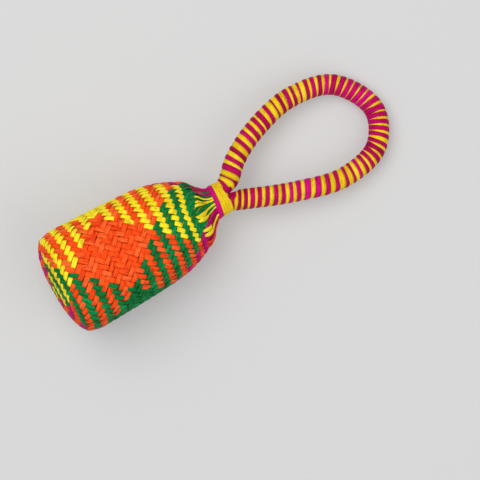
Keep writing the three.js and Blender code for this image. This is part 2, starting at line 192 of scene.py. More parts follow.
# Wrapping: a turn starts on the loop's inner side and crosses the upper side a quarter of a turn later
WRAP_LENGTHS = 5
WRAP_PITCH = 5.1
WRAP_TURNS = 54
WRAP_LOW = 1.6
WRAP_START = LEG_RUN - WRAP_LOW
WRAP_HIDDEN = 2
WRAP_END_HALF_WIDTH = 0.1
WRAP_TAPER = 9
WRAP_EARLY = 6
WRAP_HEIGHT = 1.3
WRAP_THICKNESS = 0.5
WRAP_TUCK = 0.35
WRAP_STEPS = 48
WRAP_COLUMNS = 6
WRAP_CREST = 0.25
WRAP_GRAIN_RADIUS = CORE_RADIUS + 1
MAGENTA_CROWN = 0.28
MAGENTA_CROWN_POWER = 2.5
MAGENTA_SHARE = 0.55
MOST_SQUEEZE = 0.25
YELLOW_CROWN = 3.4 * MAGENTA_CROWN
YELLOW_SINK = 0.1
YELLOW_BEGIN = -0.9
LAST_TURN = WRAP_TURNS - 0.4
WRAP_SAMPLES = 600

# How far the winding runs ahead of an even one: turn and how many pitches
AHEAD = ((0, 0.34), (2, 0.84), (6, 1.54), (13, 1.84), (28, 0.5), (38.5, -0.7), (44, 0.9), (50, 1.03),
         (54, 0.4))

# Where the magenta strip is wider or narrower along the loop: turn, how many turns it takes and share
WIDER = ((1, 0.4, -0.42), (2, 0.6, 0.33), (9, 0.7, 0.2), (11, 0.7, -0.33), (14.6, 1, -0.3), (24, 3.5, 0.15),
         (37.5, 3, -0.14), (42.5, 1.2, 0.28), (53, 1.5, -0.12))

# How the magenta strip's middle and its width wander: size, turns in one wave and start
MIDDLE_WAVES = ((0.05, 5.3, 0.4), (0.04, 2.7, 1.9))
WIDTH_WAVES = ((0.04, 7.1, 2.2), (0.04, 3.3, 0.7))

# Neck bindings and the cut strip ends between the legs
BINDING_THICKNESS = 0.6
BINDING_CROWN = 0.6
BINDING_CROWN_POWER = 2.4
BINDING_TILT = 0.15
BINDING_END = 0.07
BINDING_WAVE = 0.14
BINDING_WAVE_RATE = 0.83
BINDING_GIRTH = 60
BINDING_STEPS = 96
BINDING_COLUMNS = 8
FILL_X = 132
FILL_RISE = 4
FILL_RIDGE = 0.3
FILL_ENDS = 18
FILL_THICKNESS = 0.5
FILL_GRAIN = (30, 12)
FILL_ROWS = 16
FILL_COLUMNS = 144

# Seeds
SEED_HALF = (4.25, 3.3, 3.0)
SEED_TAPER = (0.12, 0.06)
SEED_GROOVE = 0.35
SEED_GROOVE_WIDTH = 0.7
SEED_FIT = 0.97
GOLDEN_TURN = math.pi * (3 - math.sqrt(5))

# Grain: each strip has a band of the grain map to itself, this wide
GRAIN_STEP = 16
NECK_GRAIN = 7.5 * GRAIN_STEP

# Streaks in the palm: waves in a millimetre across and along, step from strip to strip, detail and roughness
FIBRES = (1.7, 0.10, 3.7, 3, 0.6)
THREADS = (9, 0.25, 1.9, 2, 0.5)
PATCHES = (0.4, 0.22, 5.3, 2, 0.5)
# Seams place the painted shade of splits in the strips.
SEAMS = (1.3, 0.03, 7.9, 1, 0.4)

# What a strip's shade is made of: shares, and how far the sum is lowered
FIBRE_SHARE = 0.65
THREAD_SHARE = 0.25
PATCH_SHARE = 0.25
TONE_SHARE = 0.22
SHADE_DROP = 0.19

# Stops in the palm: what is read there, and the share that it gives. The edge, seam, dive and ply stops give
# painted shade, and the bright stops partly painted sheen.
PLAIN_STOPS = ((0.2, 0), (0.46, 1))
BRIGHT_STOPS = ((0.46, 0), (0.72, 0.9))
EDGE_STOPS = ((0.74, 0), (1.0, 0.5))
SEAM_STOPS = ((0, 0.9), (0.14, 0))
SEAM_PATCH_STOPS = ((0.48, 0), (0.62, 1))
DIVE_STOPS = ((0.4, 0.6), (0.66, 0.06), (0.9, 0))
PLY_STOPS = ((0.38, 0), (0.5, 1))

# Depths and shadows in the palm
BUMP_STRENGTH = 0.6
PALM_DEPTH = 0.12
PALM_SHINE = 0.09
PALM_ROUGHNESS = 0.42
SHADOW_TONE = 0.8
PLY_WANDER = 0.5
PLY_SHADOW = 0.55
PLY_DEPTH = 1.5

# Painted sheen along the wrapping, brighter on some turns where the light falls: turns from one pale stretch
# to the next, and the turn where one is palest
PAINTED_SHEEN_TURNS = 19.4
PAINTED_SHEEN_PEAK = 23.5

# Light and camera
SKY_STRENGTH = 0.42
PHOTO_SIZE = 480
PHOTO_MM_PER_PIXEL = 0.68
PHOTO_TURN = math.radians(-29.25)
PHOTO_CENTRE = (-1.9, -35.1)
EYE_HEIGHT = 2400
MIDDLE_HEIGHT = 34
SENSOR = 36


def mix(low, high, share):
    """A value between two others."""
    return low + (high - low) * share


def smoothstep(share):
    """A share from 0 to 1 with a soft start and end."""
    share = np.clip(share, 0, 1)
    return share * share * (3 - 2 * share)


def between(value, start, end):
    """0 before the start, 1 past the end, and a soft rise from one to the other."""
    return smoothstep((value - start) / (end - start))


def tilted(x, y, z):
    """Points of the rattle's own frame, turned as it lies on the floor."""
    lean, stand = math.sin(REST_TILT), math.cos(REST_TILT)
    return np.stack((x * stand + z * lean, y, z * stand - x * lean), 1)


def laid_down(points):
    """Points of the rattle's own frame at its rest, in metres. What would dip into the floor is pressed flat
    on it."""
    laid = tilted(*points.T) + REST_SHIFT
    low = laid[:, 2] < FLOOR_PRESS
    laid[low, 2] = FLOOR_PRESS * np.exp(laid[low, 2] / FLOOR_PRESS - 1)
    return laid * MM


def curve_piece(start, end, leave, arrive, steps):
    """Points on a curve from start up to the end, with the ways in which it leaves and arrives."""
    share = np.linspace(0, 1, steps, endpoint=False)[:, None]
    return ((2 * start - 2 * end + leave + arrive) * share ** 3
            + (3 * end - 3 * start - 2 * leave - arrive) * share ** 2 + leave * share + start)


def measured(line):
    """The length along a line at each of its points, and its directions there."""
    lengths = np.concatenate(([0], np.cumsum(np.linalg.norm(np.diff(line, axis=0), axis=1))))
    ways = np.gradient(line, lengths, axis=0)
    return lengths, ways / np.linalg.norm(ways, axis=1)[:, None]


# Shaders

class Wire:
    """A socket in a material, with arithmetic that adds Math nodes."""

    def __init__(self, finish, socket):
        self.finish, self.socket = finish, socket

    def __add__(self, other):
        return self.finish.maths("ADD", self, other)

    def __sub__(self, other):
        return self.finish.maths("SUBTRACT", self, other)

    def __mul__(self, other):
        return self.finish.maths("MULTIPLY", self, other)

    def __truediv__(self, other):
        return self.finish.maths("DIVIDE", self, other)

    def __rsub__(self, other):
        return self.finish.maths("SUBTRACT", other, self)

    __radd__, __rmul__ = __add__, __mul__


class Finish:
    """A material that is built node by node."""

    def __init__(self, name):
        self.material = bpy.data.materials.new(name)
        self.material.use_nodes = True
        self.nodes = self.material.node_tree.nodes
        self.nodes.clear()

    def node(self, kind, settings=None, **sockets):
        """Adds a node and returns its outputs by name."""
        node = self.nodes.new(kind)
        for key, value in (settings or {}).items():
            if key == "stops":
                ramp = node.color_ramp.elements
                while len(ramp) < len(value):
                    ramp.new(0.5)
                for stop, (position, colour) in zip(ramp, value):
                    stop.position, stop.color = position, colour
            else:
                setattr(node, key, value)
        for key, value in sockets.items():
            socket = node.inputs[int(key[1:])] if key[0] == "_" else node.inputs[key.replace("_", " ")]
            if isinstance(value, Wire):
                self.material.node_tree.links.new(value.socket, socket)
            else:
                socket.default_value = value
        return {output.identifier: Wire(self, output) for output in node.outputs}

    def maths(self, operation, first, second=0):
        """One sum of one or two values."""
        return self.node("ShaderNodeMath", {"operation": operation}, _0=first, _1=second)["Value"]

    def blend(self, share, first, second):
        """A colour between two others."""
        made = self.node("ShaderNodeMix", {"data_type": "RGBA"}, _0=share, _6=first, _7=second)
        return made["Result_Color"]

    def noise(self, x, y, z, detail, roughness):
        """Noise between 0 and 1 at a place made of three numbers."""
        place = self.node("ShaderNodeCombineXYZ", X=x, Y=y, Z=z)["Vector"]
        made = self.node("ShaderNodeTexNoise", Vector=place, Scale=1, Detail=detail, Roughness=roughness)
        return made["Fac"]

    def ramp(self, share, *stops):
        """A share that is remapped through grey stops."""
        grey = [(position, (value, value, value, 1)) for position, value in stops]
        return self.node("ShaderNodeValToRGB", {"stops": grey}, Fac=share)["Color"]

    def place(self, map_name):
        """The X, Y and Z of a place on the surface, by the name of the map."""
        spot = self.node("ShaderNodeTexCoord")[map_name]
        parts = self.node("ShaderNodeSeparateXYZ", Vector=spot)
        return parts["X"], parts["Y"], parts["Z"]

    def close(self, colour, roughness, bump, depth, glow=0, **sockets):
        """Ends the material in a Principled shader. A glow is the share of the colour that shows unshaded."""
        bumps = self.node("ShaderNodeBump", Height=bump, Strength=BUMP_STRENGTH, Distance=depth * MM)
        surface = self.node("ShaderNodeBsdfPrincipled", Base_Color=colour, Roughness=roughness,
                            Normal=bumps["Normal"], **sockets)["BSDF"]
        if glow:
            rays = self.node("ShaderNodeLightPath")
            seen = rays["Is Camera Ray"] + rays["Is Glossy Ray"] + rays["Is Transmission Ray"]
            plain = self.node("ShaderNodeEmission", Color=colour)["Emission"]
            surface = self.node("ShaderNodeMixShader", _0=seen * glow, _1=surface, _2=plain)["Shader"]
        self.node("ShaderNodeOutputMaterial", Surface=surface)
        return self.material


def dyed_palm(name, deep, plain, bright, plaited=False, ply=0, painted_sheen=0):
    """Dyed palm strip: fibres along the strip, a tone of its own for each strip, paler streaks that are partly
    the fibres' own tone and partly painted sheen, and painted shade at the edges and in splits. A plaited one
    gets painted shade where it dives under another. A wrapping one may be split into plies with painted shade
    between them, and may get a painted sheen that grows and fades from turn to turn."""
    finish = Finish(name)
    across, along, _ = finish.place("UV")
    number = finish.maths("FLOOR", across / GRAIN_STEP)
    inside = across - (number + 0.5) * GRAIN_STEP

    def streaks(rate_across, rate_along, step, detail, roughness):
        return finish.noise(across * rate_across, along * rate_along, number * step, detail, roughness)

    tone = finish.node("ShaderNodeTexWhiteNoise", {"noise_dimensions": "1D"}, W=number)["Value"]
    fibres, threads, patches = streaks(*FIBRES), streaks(*THREADS), streaks(*PATCHES)
    shade = fibres * FIBRE_SHARE + threads * THREAD_SHARE + patches * PATCH_SHARE
    shade = shade + tone * TONE_SHARE - SHADE_DROP
    # Painted sheen: the wrapping is lighter and darker from turn to turn, standing for how the light falls
    # along the loop.
    if painted_sheen:
        turn = finish.maths("MAXIMUM", number, PAINTED_SHEEN_PEAK - PAINTED_SHEEN_TURNS / 2) - PAINTED_SHEEN_PEAK
        shade = shade + finish.maths("COSINE", turn * (TAU / PAINTED_SHEEN_TURNS)) * painted_sheen
    body = finish.blend(finish.ramp(shade, *PLAIN_STOPS), (*deep, 1), (*plain, 1))
    # The bright tone is partly the fibres' own paler streaks and partly painted sheen.
    colour = finish.blend(finish.ramp(shade, *BRIGHT_STOPS), body, (*bright, 1))
    height = fibres * 0.6 + threads * 0.4

    # Painted shade at the strip's edges, where it meets its neighbours.
    shadow = finish.ramp(finish.maths("ABSOLUTE", inside) / (STRIP_WIDTH / 2), *EDGE_STOPS)
    # Thin dark lines along some strips stand for splits: painted shade in them.
    seams = finish.maths("ABSOLUTE", streaks(*SEAMS) - 0.5)
    split_shade = finish.ramp(seams, *SEAM_STOPS) * finish.ramp(patches, *SEAM_PATCH_STOPS)
    shadow = finish.maths("MAXIMUM", shadow, split_shade)
    if plaited:
        # Painted shade where the strip dives under another.
        lift = finish.maths("SINE", along * (TAU / 4 / STRIP_WIDTH)) * 0.5 + 0.5
        shadow = finish.maths("MAXIMUM", shadow, finish.ramp(lift, *DIVE_STOPS))
    if ply:
        # Painted shade in the grooves between plies, which are also sunk in the bump.
        place = finish.maths("FRACT", (inside + patches * PLY_WANDER) / ply)
        line = finish.ramp(finish.maths("ABSOLUTE", place - 0.5), *PLY_STOPS)
        shadow = finish.maths("MAXIMUM", shadow, line * PLY_SHADOW)
        height = height - line * PLY_DEPTH
    # The painted shade's colour: the deep tone, darkened.
    dark = [SHADOW_TONE * channel for channel in deep]
    colour = finish.blend(shadow, colour, (*dark, 1))
    roughness = PALM_ROUGHNESS + fibres * 0.2 + patches * 0.12
    return finish.close(colour, roughness, height, PALM_DEPTH, Specular_IOR_Level=PALM_SHINE)


# Each dye has a deep, a plain and a bright tone; the bright one is partly painted sheen
dyes = {
    "orange": ((0.60, 0.016, 0.001), (0.97, 0.080, 0.004), (1.00, 0.20, 0.045)),
    "yellow": ((0.66, 0.43, 0.003), (0.93, 0.74, 0.010), (0.98, 0.89, 0.050)),
    "magenta": ((0.27, 0.000, 0.045), (0.58, 0.001, 0.155), (0.82, 0.008, 0.300)),
    "green": ((0.000, 0.068, 0.010), (0.000, 0.200, 0.040), (0.001, 0.420, 0.120)),
}
wrap_dyes = {
    "magenta": ((0.27, 0.0, 0.034), (0.50, 0.0, 0.095), (0.84, 0.002, 0.30)),
    "yellow": ((0.62, 0.35, 0.003), (0.89, 0.62, 0.008), (0.96, 0.80, 0.04)),
}
palm = {name: dyed_palm(f"plaited_{name}_palm", *dye, plaited=True) for name, dye in dyes.items()}
strand_palm = {name: dyed_palm(f"loose_{name}_palm", *dye) for name, dye in dyes.items()}
wrap_palm = {
    "magenta": dyed_palm("wrapping_magenta_palm", *wrap_dyes["magenta"], ply=1.3, painted_sheen=0.095),
    "yellow": dyed_palm("wrapping_yellow_palm", *wrap_dyes["yellow"], ply=1.1),
}


def plain_fibre():
    """Undyed fibre bundle under the wrapping."""
    finish = Finish("plain_fibre")
    across, along, _ = finish.place("UV")
    strands = finish.noise(across * 1.6, along * 0.05, 0, detail=3, roughness=0.6)
    hairs = finish.noise(across * 7, along * 0.12, 4, detail=2, roughness=0.6)
    shade = strands * 0.6 + hairs * 0.4
    brown, straw = (0.30, 0.19, 0.08, 1), (0.62, 0.47, 0.25, 1)
    colour = finish.blend(finish.ramp(shade, (0.3, 0), (0.7, 1)), brown, straw)
    return finish.close(colour, roughness=0.6 + hairs * 0.25, bump=shade, depth=0.2)


def seed_skin():
    """Brown seed coat with fine mottling."""
    finish = Finish("seed_skin")
    place = finish.place("Object")
    mottle = finish.noise(*(axis * 900 for axis in place), detail=3, roughness=0.6)
    speck = finish.noise(*(axis * 3000 for axis in place), detail=2, roughness=0.5)
    dark, light = (0.07, 0.028, 0.010, 1), (0.24, 0.12, 0.05, 1)
    colour = finish.blend(finish.ramp(mottle, (0.35, 0), (0.65, 1)), dark, light)
    return finish.close(colour, roughness=0.28 + speck * 0.25, bump=mottle * 0.6 + speck * 0.4, depth=0.1)


def studio_floor():
    """Pale paper sweep."""
    finish = Finish("pale_paper")
    x, y, _ = finish.place("Object")
    tooth = finish.noise(x * 400, y * 400, 0, detail=2, roughness=0.5)
    colour = finish.blend(tooth, (0.63, 0.63, 0.63, 1), (0.65, 0.65, 0.65, 1))
    return finish.close(colour, roughness=0.85 + tooth * 0.1, bump=tooth, depth=0.02, glow=0.35)


# Piece making

def ribbon(name, rows, columns, shape):
    """Adds a grid and lays it where shape says: it takes each point's share along and its place across, from
    -1 to 1, and gives the places in the rattle's frame and the grain, in millimetres across and along."""
    bpy.ops.object.select_all(action="DESELECT")
    bpy.ops.mesh.primitive_grid_add(x_subdivisions=columns, y_subdivisions=rows, size=2)
    piece = bpy.context.object
    piece.name = piece.data.name = name
    mesh = piece.data
    flat = np.empty(len(mesh.vertices) * 3)
    mesh.vertices.foreach_get("co", flat)
    flat = flat.reshape(-1, 3)
    places, grain = shape((flat[:, 1] + 1) / 2, flat[:, 0])
    mesh.vertices.foreach_set("co", laid_down(places).ravel())
    corners = np.empty(len(mesh.loops), int)
    mesh.loops.foreach_get("vertex_index", corners)
    mesh.uv_layers.active.data.foreach_set("uv", grain[corners].ravel())
    mesh.update()
    return piece


def joined(name, pieces):
    """One object from several."""
    bpy.ops.object.select_all(action="DESELECT")
    for piece in pieces:
        piece.select_set(True)
    bpy.context.view_layer.objects.active = pieces[0]
    bpy.ops.object.join()
    whole = bpy.context.object
    whole.name = whole.data.name = name
    return whole


def thickened(piece, thickness):
    """Gives a sheet its thickness on the inner side and rounds its shading."""
    bpy.ops.object.select_all(action="DESELECT")
    piece.select_set(True)
    bpy.context.view_layer.objects.active = piece
    solid = piece.modifiers.new("thickness", "SOLIDIFY")
    solid.thickness, solid.offset = thickness * MM, -1
    bpy.ops.object.modifier_apply(modifier=solid.name)
    bpy.ops.object.shade_smooth_by_angle(angle=SMOOTH_ANGLE)
    return piece


def merge_seam():
    """Goes into edit mode and merges the edges where the new piece meets itself."""
    bpy.ops.object.mode_set(mode="EDIT")
    bpy.ops.mesh.select_all(action="SELECT")
    bpy.ops.mesh.remove_doubles(threshold=SEAM_GAP * MM)


def face_outwards():
    """Turns all faces of the piece in edit mode outwards and leaves that mode."""
    bpy.ops.mesh.select_all(action="SELECT")
    bpy.ops.mesh.normals_make_consistent(inside=False)
    bpy.ops.object.mode_set(mode="OBJECT")


def placed(piece, finish, slot, body, *nodes):
    """Gives a piece its material, its body and the CAD nodes that it stands for. The slot is not used."""
    piece.data.materials.clear()
    piece.data.materials.append(finish)
    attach(piece, body)
    if nodes:
        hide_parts(*nodes)


# Basket

def side_line(points, steps):
    """A uniform spline through points, as rows of x and radius."""
    points = np.array(points, float)
    padded = np.concatenate((points[:1], points, points[-1:]))
    line = [curve_piece(start, end, (end - before) / 2, (after - start) / 2, steps)
            for before, start, end, after in zip(padded, padded[1:], padded[2:], padded[3:])]
    return np.concatenate((*line, points[-1:]))


dome_depth = np.cos(np.linspace(0, TAU / 4, SIDE_STEPS, endpoint=False))
dome_radius = DOME_RADIUS * (1 - dome_depth ** DOME_POWER) ** (1 / DOME_POWER)
dome = np.stack((DOME_HEIGHT * (1 - dome_depth), dome_radius), 1)
wall = side_line(((DOME_HEIGHT, DOME_RADIUS), BELLY, SHOULDER, (BASKET_LENGTH, MOUTH_RADIUS)), SIDE_STEPS)
gather = side_line((wall[-1], *GATHER_LINE), GATHER_STEPS)[1:]
profile = np.concatenate((dome, wall, gather))
profile_length, profile_slope = measured(profile)
loose_length = np.interp(LOOSE_X, profile[:, 0], profile_length)

# Cells along the side: each is a little longer than it is wide, so they shrink with the girth
cell_length = CELL_STRETCH * TAU * np.maximum(profile[:, 1], POLE_RADIUS) / STRIPS
cell_steps = np.diff(profile_length) / ((cell_length[1:] + cell_length[:-1]) / 2)
cells_from_pole = np.concatenate(([0], np.cumsum(cell_steps)))
cells = cells_from_pole - np.interp(PATTERN_X, profile[:, 0], cells_from_pole)
edge_length = np.interp(EDGE, cells, profile_length)
weave_end = np.interp(WEAVE_END_X, profile[:, 0], cells)


def slackened(length, turn):
    """Lengths along the profile, drawn towards the neck on the left side, where the last rows are loose."""
    x = np.interp(length, profile_length, profile[:, 0])
    begin, most, end = SLACK_X
    share = between(x, begin, most) * (1 - between(x, most, end))
    return length + SLACK * share * between(np.sin(TAU * turn / STRIPS), *SLACK_SIDE)


def neck_flattening(x):
    """How flat the neck's section is, which grows towards the handle's two legs."""
    return mix(NECK_FLATTENING, LEG_FLATTENING, between(x, LEG_FLATTENING_X, NECK_TOP))


def neck_radius(x):
    """Half the neck's width."""
    return np.interp(x, profile[:, 0], profile[:, 1])


def basket_point(length, turn, height):
    """A point at a length along the profile, a turn in strips from the top, and a height off the surface."""
    length = slackened(length, turn)
    x, radius = (np.interp(length, profile_length, profile[:, axis]) for axis in (0, 1))
    run, rise = (np.interp(length, profile_length, profile_slope[:, axis]) for axis in (0, 1))
    drawn_in = between(x, BASKET_LENGTH, NECK_START)
    spread = SPREAD * (1 - drawn_in) * between(x, *SPREAD_X)
    angle = TAU * (turn + spread * (SPREAD_LEAN + np.sin(TAU * turn / STRIPS))) / STRIPS
    power = mix(BASE_SQUARENESS, 2, between(x, 0, BASKET_LENGTH))
    swell = (np.abs(np.cos(angle)) ** power + np.abs(np.sin(angle)) ** power) ** (-1 / power)
    flattening = mix(1, neck_flattening(x), drawn_in)
    reach = radius * swell + height * run
    return np.stack((x - height * rise, reach * np.sin(angle), reach * np.cos(angle) * flattening), 1)


def plait_place(turn, level, face):
    """The profile length and the turn of a place in the plait. Below the edge the plait is a square mat in
    four faces, and a strip that runs past a face's border goes on in the next face."""
    inward, offset = level - POLE, turn - FACE * face
    ahead, behind = offset > np.abs(inward), offset < -np.abs(inward)
    ring = np.where(ahead, offset, np.where(behind, -offset, inward))
    slip = np.where(ahead, -inward, np.where(behind, inward, offset))
    mat_face = face + np.where(ahead, 1, np.where(behind, -1, 0))
    ring = np.maximum(ring, TINY)
    on_mat = level < EDGE
    length = np.where(on_mat, edge_length * ring / (FACE / 2), np.interp(level, cells, profile_length))
    mat_turn = FACE * (mat_face + np.clip(slip / ring, -1, 1) / 2)
    return length, np.where(on_mat, mat_turn, turn)


def over_under(cell):
    """1 where a strip passes over, -1 where it passes under: two cells over, two under."""
    return np.tanh(TWILL_SHARPNESS * np.sin(TAU / 4 * cell)) / math.tanh(TWILL_SHARPNESS)


def palm_strip(name, way, number):
    """One strip from the base to the neck. Way is 1 for strips that climb one way round, -1 for the other."""
    chance = random.Random(f"{name} strip")
    phase, width = chance.uniform(0, TAU), STRIP_FILL + chance.uniform(*WIDTH_CHANCE)
    shift, sag = chance.uniform(*SHIFT_CHANCE), chance.uniform(*SAG_CHANCE)
    roll, drift = chance.uniform(*ROLL_CHANCE), chance.uniform(*DRIFT_CHANCE)
    breadth = chance.uniform(*BREADTH_CHANCE)
    middle = number + 0.5
    grain_middle = middle * GRAIN_STEP

    # In the plait: from its last row down to the border of a face of the base
    first_over = number if way == 1 else number + 1
    face = math.floor((middle - way * EDGE + FACE / 2) / FACE)
    start = middle - 2 * way * weave_end
    border = FACE * face - way * POLE
    ends_over = over_under(border - way * 0.5 - first_over) > 0
    end = border + way * (BORDER_LAP if ends_over else -BORDER_TUCK)
    rows = math.ceil(abs(end - start) * ROWS_PER_CELL)

    def uneven(cross, size, rate, phases):
        return size * np.sin(cross * rate + phases * phase)

    def woven_part(share, side):
        cross = mix(start, end, share)
        lift = over_under(cross - first_over)
        sway = sum(uneven(cross, *wave) for wave in SWAY_WAVES)
        pinch = STRIP_PINCH[0] + STRIP_PINCH[1] * lift + uneven(cross, *PINCH_WAVE)
        own = middle + shift + sway + side * width / 2 * pinch
        height = STRIP_TOP + sag - STRIP_LIFT * (1 - lift) - STRIP_CROWN * side ** 2
        height += uneven(cross, *HEIGHT_WAVE) + side * uneven(cross, *TWIST_WAVE)
        length, turn = plait_place((own + cross) / 2, way * (own - cross) / 2, face)
        places = basket_point(length, turn + PATTERN_ROLL, height)
        grain = np.stack((grain_middle + side * STRIP_WIDTH / 2, (cross - first_over) * STRIP_WIDTH), 1)
        return places, grain

    # Past the plait: how the loose end turns, and how high it lies among its neighbours, at first and later
    start_turn = middle - way * weave_end + shift / 2
    start_length = np.interp(weave_end, cells, profile_length)
    start_lift = over_under(start - first_over)
    last_cell = np.interp(start_length, profile_length, cell_length)
    strand_length = np.interp(STRAND_END_X, profile[:, 0], profile_length) - start_length
    seen_turn = (start_turn + PATTERN_ROLL + STRIPS / 2) % STRIPS - STRIPS / 2
    shoulder = between(seen_turn, *SHOULDER_TURNS[:2]) * (1 - between(seen_turn, *SHOULDER_TURNS[2:]))
    if way == 1:
        settled = seen_turn - STRAND_SWEEP / last_cell
        bunching = np.interp(settled, *zip(*LEAF_TURNS)) - settled
        delay, hidden, tip = np.interp(settled, *zip(*LEAF_DELAYS)), HIDDEN_RIGHT, LEAF_TIP
        tucked = number % TUCKED_EVERY == 0
        early_lift = mix(TUCKED if tucked else OVER, TUCKED, shoulder)
        late_lift = TUCKED if tucked or number in DIVING_RIGHT else OVER
    else:
        bunching, delay, hidden, tip = STRAND_TURN, 0, HIDDEN_LEFT, STRAND_TIP
        resting = RESTING[number % 2]
        raised = number % RAISED_EVERY == 1 or number in RAISED_LEFT
        early_lift, late_lift = mix(resting, OVER, shoulder), RAISED if raised else resting

    def gathered_part(share, side):
        run = (1 - share) * strand_length
        risen = run - delay
        leave = smoothstep(risen / STRAND_CROSSING)
        slant = np.exp(-run / STRAND_SWEEP)
        straight = 1 / np.sqrt(1 + slant ** 2)
        sweep = way * (1 - slant) * STRAND_SWEEP / last_cell
        turn = start_turn - sweep + bunching * smoothstep(run / STRAND_RUN) + drift * leave

        ducked = mix(start_lift, DUCKED, min(1, delay / DUCK_DELAY) * smoothstep(run / DUCK_RUN))
        late = smoothstep((run - STRAND_LATE[0]) / STRAND_LATE[1])
        lift = mix(mix(ducked, early_lift, leave), late_lift, late)
        height = STRIP_TOP + sag - STRIP_LIFT * (1 - lift) - STRIP_CROWN * side ** 2 + side * roll * leave
        height += LOOSE_RISE * np.exp(-((start_length + run - loose_length) / LOOSE_REACH) ** 2)

        girth = TAU * np.interp(start_length + run, profile_length, profile[:, 1]) / STRIPS
        narrow = smoothstep((run - STRAND_TAPER[0]) / STRAND_TAPER[1])
        half = width / 4 * girth * math.sqrt(2) * mix(1, tip, smoothstep(risen / TIP_RUN))
        half = mix(half, LEAF_HALF_WIDTH * breadth, smoothstep((risen - TIP_RUN) / STRAND_CROSSING))
        half = mix(half, STRAND_HALF_WIDTH * breadth, narrow)
        covered = np.clip((-lift - hidden) / HIDDEN_FADE, 0, 1)
        half = mix(half, np.maximum(half, HIDDEN_HALF_WIDTH * girth), covered)

        length = start_length + run + way * side * half * slant * straight
        places = basket_point(length, turn + side * half * straight / girth + PATTERN_ROLL, height)
        return places, np.stack((grain_middle + side * STRIP_WIDTH / 2, -run), 1)

    return (ribbon(name, rows, STRIP_COLUMNS, woven_part),
            ribbon(name + "_end", GATHER_ROWS, STRIP_COLUMNS, gathered_part))


for direction, way in (("right", 1), ("left", -1)):
    for colour, colour_name in enumerate(COLOURS):
        strips, ends = [], []
        for number in range(STRIPS):
            if math.floor((number + 0.5 + FACE / 2) / FACE) % len(COLOURS) == colour:
                strip, strand = palm_strip(f"{direction}_{number}", way, number)
                strips.append(strip)
                ends.append(strand)
        weave = thickened(joined(f"{colour_name}_strips_{direction}", strips), STRIP_THICKNESS)
        strands = thickened(joined(f"{colour_name}_strand_ends_{direction}", ends), STRIP_THICKNESS)
        slot = "palm_" + colour_name
        nodes = ("woven_body", "gathered_strands") if direction == "right" and colour == 0 else ()
        placed(weave, palm[colour_name], slot, "rattle", *nodes[:1])
        placed(strands, strand_palm[colour_name], slot, "rattle", *nodes[1:])


# Handle loop

def loop_line():
    """The handle's centre line, from one leg's tail to the other's."""
    def beside(points, half_width):
        return [(NECK_TOP + far * LOOP_REACH, wide * half_width) for far, wide in points]

    tail = NECK_START - LEG_TAIL
    leg = (tail, (tail + NECK_TOP) / 2, NECK_TOP)
    left = [(x, LEG_OFFSET + LEFT_SHIFT) for x in leg]
    left.append((NECK_TOP + LEG_RISE, LEG_OFFSET + LEFT_SHIFT + LEG_FLARE))
    right = [(NECK_TOP + LEG_RISE, -LEG_OFFSET - LEG_FLARE)]
    right.extend((x, -LEG_OFFSET) for x in reversed(leg))
    points = np.array(left + beside(LEFT_LINE, LOOP_LEFT) + beside(RIGHT_LINE, -LOOP_RIGHT) + right)
    padded = np.concatenate(([2 * points[0] - points[1]], points, [2 * points[-1] - points[-2]]))
    line = []
    for before, start, end, after in zip(padded, padded[1:], padded[2:], padded[3:]):
        pairs = (before, start), (start, end), (end, after)
        enter, span, leave = (math.sqrt(np.linalg.norm(far - near)) for near, far in pairs)
        away = ((start - before) / enter - (end - before) / (enter + span) + (end - start) / span) * span
        arrive = ((end - start) / span - (after - start) / (span + leave) + (after - end) / leave) * span
        line.append(curve_piece(start, end, away, arrive, LOOP_STEPS))
    return np.concatenate((*line, points[-1:]))


loop_places = loop_line()
loop_lengths, loop_ways = measured(loop_places)
loop_length = loop_lengths[-1]
loop_bends = np.linalg.norm(np.gradient(loop_ways, loop_lengths, axis=0), axis=1)


def beside_loop(length, angle, distance):
    """A point at an angle and a distance from the loop's centre line."""
    x, y = (np.interp(length, loop_lengths, loop_places[:, axis]) for axis in (0, 1))
    along_x, along_y = (np.interp(length, loop_lengths, loop_ways[:, axis]) for axis in (0, 1))
    out = distance * np.cos(angle)
    return np.stack((x + along_y * out, y - along_x * out, distance * np.sin(angle)), 1)


def above_neck(length):
    """How far past the neck's top a place on the loop is, along the nearer leg."""
    return np.minimum(length, loop_length - length) - LEG_RUN


def core_bundle():
    """The bundle of plain fibres inside the wrapping, with closed ends."""
    def shape(share, side):
        length = share * loop_length
        angle = math.pi * side
        radius = mix(LEG_RADIUS, CORE_RADIUS, smoothstep(above_neck(length) / CORE_TAPER))
        ridges = CORE_RIDGE * np.cos(CORE_STRANDS * angle + length * CORE_LAY)
        places = beside_loop(length, angle, radius - CORE_SINK + ridges)
        return places, np.stack((side * CORE_HALF_GIRTH, length), 1)

    piece = ribbon("fibre_core", CORE_ROWS, CORE_COLUMNS, shape)
    merge_seam()
    bpy.ops.mesh.select_all(action="DESELECT")
    bpy.ops.mesh.select_mode(type="EDGE")
    bpy.ops.mesh.select_non_manifold()
    bpy.ops.mesh.edge_face_add()
    face_outwards()
    bpy.ops.object.shade_smooth_by_angle(angle=SMOOTH_ANGLE)
    return piece


placed(core_bundle(), plain_fibre(), "handle_fibre", "rattle", "handle_core")


# Wrapping

even_turns = round((loop_length - 2 * WRAP_START) / WRAP_PITCH)
wrap_pitch = (loop_length - 2 * WRAP_START) / even_turns


def wander(turns, *waves):
    """A slow wander made of a few waves."""
    return sum(size * np.sin(TAU * turns / period + start) for size, period, start in waves)


